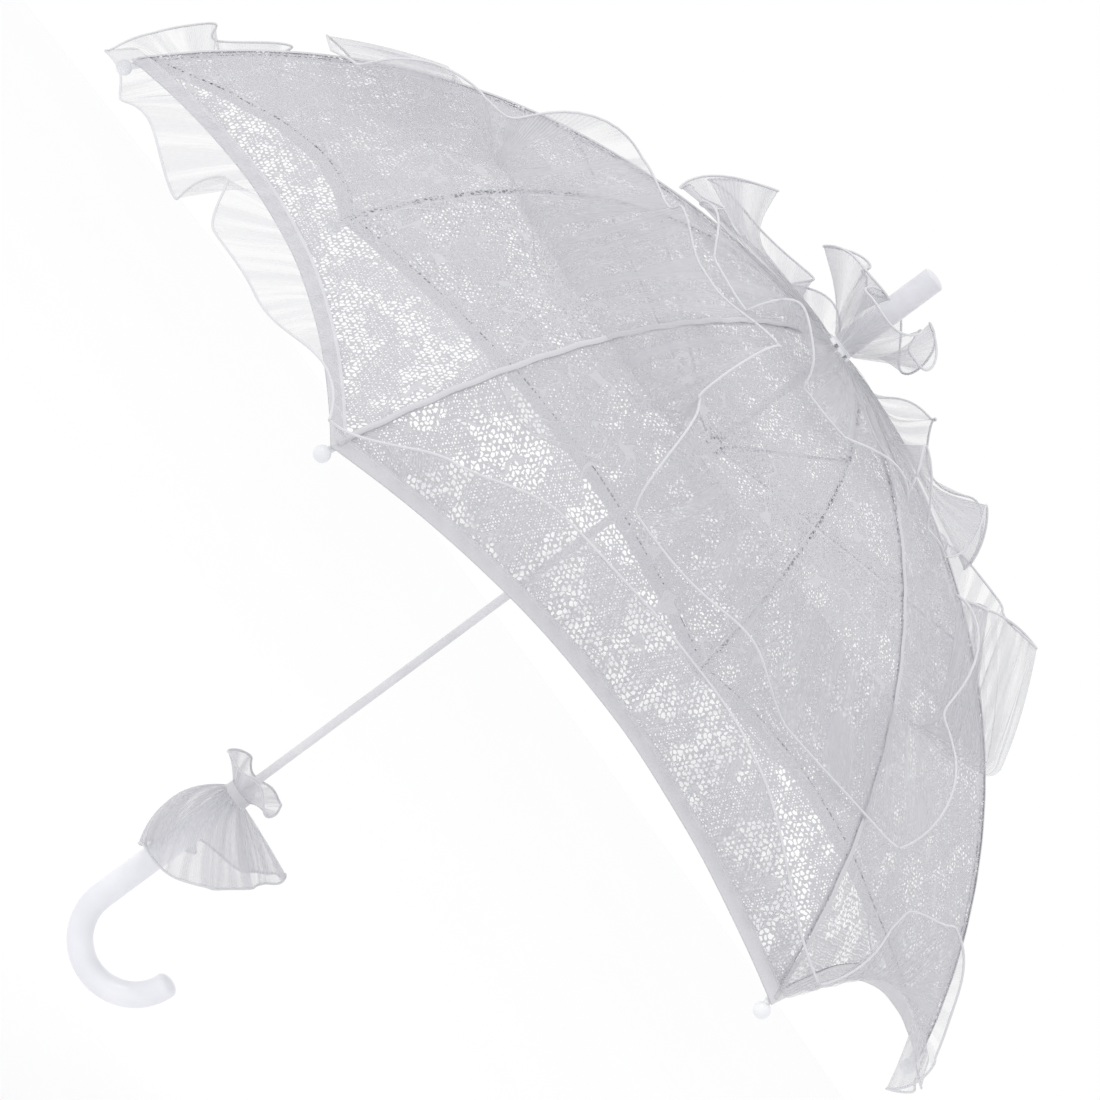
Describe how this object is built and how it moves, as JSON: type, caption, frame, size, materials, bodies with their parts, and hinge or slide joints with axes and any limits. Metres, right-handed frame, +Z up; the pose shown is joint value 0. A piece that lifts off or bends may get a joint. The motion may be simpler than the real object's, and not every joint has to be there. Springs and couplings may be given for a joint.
{
  "type": "lace parasol",
  "caption": "Folding lace parasol with a curved ribbed canopy, gathered organza ruffles, a long round ferrule, a sliding runner and a crook handle.",
  "frame": {"origin": "middle of the straight grip, on the shaft's axis", "axes": "+Z up the shaft to the ferrule with the canopy open above; +X the way the crook bends"},
  "size_m": [0.7922, 0.7846, 0.6812],
  "materials": {
    "lace": "cotton-look net lace",
    "organza": "sheer organza",
    "satin": "satin ribbon",
    "handle_plastic": "smooth satin gloss",
    "tip_plastic": "gloss",
    "notch_plastic": "moulded",
    "shaft_enamel": "white enamel",
    "white_steel": "white enamel",
    "spring_steel": "bright spring wire"
  },
  "bodies": {
    "stick": {"shaft": "shaft_enamel", "top_notch": "notch_plastic", "notch_wire": "spring_steel", "ferrule": "handle_plastic", "handle": "handle_plastic", "handle_frill": "organza", "frill_band": "satin", "crown_ruffle": "organza"},
    "runner": {"runner": "notch_plastic", "runner_wire": "spring_steel"},
    "upper_catch": {"upper_catch": "spring_steel"},
    "lower_catch": {"lower_catch": "spring_steel"},
    "rib_1": {"rib_1": "white_steel"},
    "rib_end_1": {"rib_end_1": "white_steel", "rib_tip_1": "tip_plastic"},
    "stretcher_1": {"stretcher_1": "white_steel"},
    "panel_1": {"panel_1": "lace"},
    "panel_end_1": {"panel_end_1": "lace", "mid_ruffle_1": "organza", "hem_ruffle_1": "organza"},
    "rib_2": {"rib_2": "white_steel"},
    "rib_end_2": {"rib_end_2": "white_steel", "rib_tip_2": "tip_plastic"},
    "stretcher_2": {"stretcher_2": "white_steel"},
    "panel_2": {"panel_2": "lace"},
    "panel_end_2": {"panel_end_2": "lace", "mid_ruffle_2": "organza", "hem_ruffle_2": "organza"},
    "rib_3": {"rib_3": "white_steel"},
    "rib_end_3": {"rib_end_3": "white_steel", "rib_tip_3": "tip_plastic"},
    "stretcher_3": {"stretcher_3": "white_steel"},
    "panel_3": {"panel_3": "lace"},
    "panel_end_3": {"panel_end_3": "lace", "mid_ruffle_3": "organza", "hem_ruffle_3": "organza"},
    "rib_4": {"rib_4": "white_steel"},
    "rib_end_4": {"rib_end_4": "white_steel", "rib_tip_4": "tip_plastic"},
    "stretcher_4": {"stretcher_4": "white_steel"},
    "panel_4": {"panel_4": "lace"},
    "panel_end_4": {"panel_end_4": "lace", "mid_ruffle_4": "organza", "hem_ruffle_4": "organza"},
    "rib_5": {"rib_5": "white_steel"},
    "rib_end_5": {"rib_end_5": "white_steel", "rib_tip_5": "tip_plastic"},
    "stretcher_5": {"stretcher_5": "white_steel"},
    "panel_5": {"panel_5": "lace"},
    "panel_end_5": {"panel_end_5": "lace", "mid_ruffle_5": "organza", "hem_ruffle_5": "organza"},
    "rib_6": {"rib_6": "white_steel"},
    "rib_end_6": {"rib_end_6": "white_steel", "rib_tip_6": "tip_plastic"},
    "stretcher_6": {"stretcher_6": "white_steel"},
    "panel_6": {"panel_6": "lace"},
    "panel_end_6": {"panel_end_6": "lace", "mid_ruffle_6": "organza", "hem_ruffle_6": "organza"}
  },
  "joints": [
    {"name": "runner_slide", "type": "slide", "parent": "stick", "child": "runner", "axis": [0, 0, 1], "range_m": [-0.30341, 0], "deforming": ["crown_ruffle", "handle_frill", "upper_catch", "lower_catch", "panel_1", "panel_end_1", "mid_ruffle_1", "hem_ruffle_1", "panel_2", "panel_end_2", "mid_ruffle_2", "hem_ruffle_2", "panel_3", "panel_end_3", "mid_ruffle_3", "hem_ruffle_3", "panel_4", "panel_end_4", "mid_ruffle_4", "hem_ruffle_4", "panel_5", "panel_end_5", "mid_ruffle_5", "hem_ruffle_5", "panel_6", "panel_end_6", "mid_ruffle_6", "hem_ruffle_6"]},
    {"name": "rib_1_fold", "type": "hinge", "parent": "stick", "child": "rib_1", "pos_m": [0.00684, 0.00149, 0.506], "axis": [-0.213, 0.977, 0], "range_deg": [0, 71.6]},
    {"name": "rib_1_flex", "type": "hinge", "parent": "rib_1", "child": "rib_end_1", "pos_m": [0.19545, 0.04262, 0.46001], "axis": [-0.213, 0.977, 0], "range_deg": [-28.48, 0]},
    {"name": "stretcher_1_pivot", "type": "hinge", "parent": "rib_1", "child": "stretcher_1", "pos_m": [0.19545, 0.04262, 0.46001], "axis": [-0.213, 0.977, 0], "range_deg": [-143.2, 0]},
    {"name": "panel_1_fold", "type": "hinge", "parent": "stick", "child": "panel_1", "pos_m": [-0.00679, -0.00618, 0.49569], "axis": [-0.673, 0.7396, 0], "range_deg": [0, 69.58]},
    {"name": "panel_1_flex", "type": "hinge", "parent": "panel_1", "child": "panel_end_1", "pos_m": [0.12814, 0.1166, 0.46001], "axis": [-0.673, 0.7396, 0], "range_deg": [-30.34, 0]},
    {"name": "rib_2_fold", "type": "hinge", "parent": "stick", "child": "rib_2", "pos_m": [0.00213, 0.00667, 0.506], "axis": [-0.9527, 0.304, 0], "range_deg": [0, 71.6]},
    {"name": "rib_2_flex", "type": "hinge", "parent": "rib_2", "child": "rib_end_2", "pos_m": [0.06082, 0.19058, 0.46001], "axis": [-0.9527, 0.304, 0], "range_deg": [-28.48, 0]},
    {"name": "stretcher_2_pivot", "type": "hinge", "parent": "rib_2", "child": "stretcher_2", "pos_m": [0.06082, 0.19058, 0.46001], "axis": [-0.9527, 0.304, 0], "range_deg": [-143.2, 0]},
    {"name": "panel_2_fold", "type": "hinge", "parent": "stick", "child": "panel_2", "pos_m": [0.00196, -0.00897, 0.49569], "axis": [-0.977, -0.213, 0], "range_deg": [0, 69.58]},
    {"name": "panel_2_flex", "type": "hinge", "parent": "panel_2", "child": "panel_end_2", "pos_m": [-0.03691, 0.16927, 0.46001], "axis": [-0.977, -0.213, 0], "range_deg": [-30.34, 0]},
    {"name": "rib_3_fold", "type": "hinge", "parent": "stick", "child": "rib_3", "pos_m": [-0.00471, 0.00518, 0.506], "axis": [-0.7396, -0.673, 0], "range_deg": [0, 71.6]},
    {"name": "rib_3_flex", "type": "hinge", "parent": "rib_3", "child": "rib_end_3", "pos_m": [-0.13463, 0.14796, 0.46001], "axis": [-0.7396, -0.673, 0], "range_deg": [-28.48, 0]},
    {"name": "stretcher_3_pivot", "type": "hinge", "parent": "rib_3", "child": "stretcher_3", "pos_m": [-0.13463, 0.14796, 0.46001], "axis": [-0.7396, -0.673, 0], "range_deg": [-143.2, 0]},
    {"name": "panel_3_fold", "type": "hinge", "parent": "stick", "child": "panel_3", "pos_m": [0.00875, -0.00279, 0.49569], "axis": [-0.304, -0.9527, 0], "range_deg": [0, 69.58]},
    {"name": "panel_3_flex", "type": "hinge", "parent": "panel_3", "child": "panel_end_3", "pos_m": [-0.16504, 0.05267, 0.46001], "axis": [-0.304, -0.9527, 0], "range_deg": [-30.34, 0]},
    {"name": "rib_4_fold", "type": "hinge", "parent": "stick", "child": "rib_4", "pos_m": [-0.00684, -0.00149, 0.506], "axis": [0.213, -0.977, 0], "range_deg": [0, 71.6]},
    {"name": "rib_4_flex", "type": "hinge", "parent": "rib_4", "child": "rib_end_4", "pos_m": [-0.19545, -0.04262, 0.46001], "axis": [0.213, -0.977, 0], "range_deg": [-28.48, 0]},
    {"name": "stretcher_4_pivot", "type": "hinge", "parent": "rib_4", "child": "stretcher_4", "pos_m": [-0.19545, -0.04262, 0.46001], "axis": [0.213, -0.977, 0], "range_deg": [-143.2, 0]},
    {"name": "panel_4_fold", "type": "hinge", "parent": "stick", "child": "panel_4", "pos_m": [0.00679, 0.00618, 0.49569], "axis": [0.673, -0.7396, 0], "range_deg": [0, 69.58]},
    {"name": "panel_4_flex", "type": "hinge", "parent": "panel_4", "child": "panel_end_4", "pos_m": [-0.12814, -0.1166, 0.46001], "axis": [0.673, -0.7396, 0], "range_deg": [-30.34, 0]},
    {"name": "rib_5_fold", "type": "hinge", "parent": "stick", "child": "rib_5", "pos_m": [-0.00213, -0.00667, 0.506], "axis": [0.9527, -0.304, 0], "range_deg": [0, 71.6]},
    {"name": "rib_5_flex", "type": "hinge", "parent": "rib_5", "child": "rib_end_5", "pos_m": [-0.06082, -0.19058, 0.46001], "axis": [0.9527, -0.304, 0], "range_deg": [-28.48, 0]},
    {"name": "stretcher_5_pivot", "type": "hinge", "parent": "rib_5", "child": "stretcher_5", "pos_m": [-0.06082, -0.19058, 0.46001], "axis": [0.9527, -0.304, 0], "range_deg": [-143.2, 0]},
    {"name": "panel_5_fold", "type": "hinge", "parent": "stick", "child": "panel_5", "pos_m": [-0.00196, 0.00897, 0.49569], "axis": [0.977, 0.213, 0], "range_deg": [0, 69.58]},
    {"name": "panel_5_flex", "type": "hinge", "parent": "panel_5", "child": "panel_end_5", "pos_m": [0.03691, -0.16927, 0.46001], "axis": [0.977, 0.213, 0], "range_deg": [-30.34, 0]},
    {"name": "rib_6_fold", "type": "hinge", "parent": "stick", "child": "rib_6", "pos_m": [0.00471, -0.00518, 0.506], "axis": [0.7396, 0.673, 0], "range_deg": [0, 71.6]},
    {"name": "rib_6_flex", "type": "hinge", "parent": "rib_6", "child": "rib_end_6", "pos_m": [0.13463, -0.14796, 0.46001], "axis": [0.7396, 0.673, 0], "range_deg": [-28.48, 0]},
    {"name": "stretcher_6_pivot", "type": "hinge", "parent": "rib_6", "child": "stretcher_6", "pos_m": [0.13463, -0.14796, 0.46001], "axis": [0.7396, 0.673, 0], "range_deg": [-143.2, 0]},
    {"name": "panel_6_fold", "type": "hinge", "parent": "stick", "child": "panel_6", "pos_m": [-0.00875, 0.00279, 0.49569], "axis": [0.304, 0.9527, 0], "range_deg": [0, 69.58]},
    {"name": "panel_6_flex", "type": "hinge", "parent": "panel_6", "child": "panel_end_6", "pos_m": [0.16504, -0.05267, 0.46001], "axis": [0.304, 0.9527, 0], "range_deg": [-30.34, 0]},
    {"name": "upper_catch_press", "type": "slide", "parent": "stick", "child": "upper_catch", "axis": [0.213, -0.977, 0], "range_m": [0, 0.0023], "stiffness_N_per_m": 600},
    {"name": "lower_catch_press", "type": "slide", "parent": "stick", "child": "lower_catch", "axis": [0.213, -0.977, 0], "range_m": [0, 0.0023], "stiffness_N_per_m": 600}
  ],
  "couplings": [
    {"joint": "rib_1_fold", "follows": "runner_slide", "rad_per_m": -4.1188},
    {"joint": "rib_1_flex", "follows": "runner_slide", "rad_per_m": 1.6385},
    {"joint": "stretcher_1_pivot", "follows": "runner_slide", "rad_per_m": 8.2375},
    {"joint": "panel_1_fold", "follows": "runner_slide", "rad_per_m": -4.0024},
    {"joint": "panel_1_flex", "follows": "runner_slide", "rad_per_m": 1.7452},
    {"joint": "rib_2_fold", "follows": "runner_slide", "rad_per_m": -4.1188},
    {"joint": "rib_2_flex", "follows": "runner_slide", "rad_per_m": 1.6385},
    {"joint": "stretcher_2_pivot", "follows": "runner_slide", "rad_per_m": 8.2375},
    {"joint": "panel_2_fold", "follows": "runner_slide", "rad_per_m": -4.0024},
    {"joint": "panel_2_flex", "follows": "runner_slide", "rad_per_m": 1.7452},
    {"joint": "rib_3_fold", "follows": "runner_slide", "rad_per_m": -4.1188},
    {"joint": "rib_3_flex", "follows": "runner_slide", "rad_per_m": 1.6385},
    {"joint": "stretcher_3_pivot", "follows": "runner_slide", "rad_per_m": 8.2375},
    {"joint": "panel_3_fold", "follows": "runner_slide", "rad_per_m": -4.0024},
    {"joint": "panel_3_flex", "follows": "runner_slide", "rad_per_m": 1.7452},
    {"joint": "rib_4_fold", "follows": "runner_slide", "rad_per_m": -4.1188},
    {"joint": "rib_4_flex", "follows": "runner_slide", "rad_per_m": 1.6385},
    {"joint": "stretcher_4_pivot", "follows": "runner_slide", "rad_per_m": 8.2375},
    {"joint": "panel_4_fold", "follows": "runner_slide", "rad_per_m": -4.0024},
    {"joint": "panel_4_flex", "follows": "runner_slide", "rad_per_m": 1.7452},
    {"joint": "rib_5_fold", "follows": "runner_slide", "rad_per_m": -4.1188},
    {"joint": "rib_5_flex", "follows": "runner_slide", "rad_per_m": 1.6385},
    {"joint": "stretcher_5_pivot", "follows": "runner_slide", "rad_per_m": 8.2375},
    {"joint": "panel_5_fold", "follows": "runner_slide", "rad_per_m": -4.0024},
    {"joint": "panel_5_flex", "follows": "runner_slide", "rad_per_m": 1.7452},
    {"joint": "rib_6_fold", "follows": "runner_slide", "rad_per_m": -4.1188},
    {"joint": "rib_6_flex", "follows": "runner_slide", "rad_per_m": 1.6385},
    {"joint": "stretcher_6_pivot", "follows": "runner_slide", "rad_per_m": 8.2375},
    {"joint": "panel_6_fold", "follows": "runner_slide", "rad_per_m": -4.0024},
    {"joint": "panel_6_flex", "follows": "runner_slide", "rad_per_m": 1.7452}
  ]
}
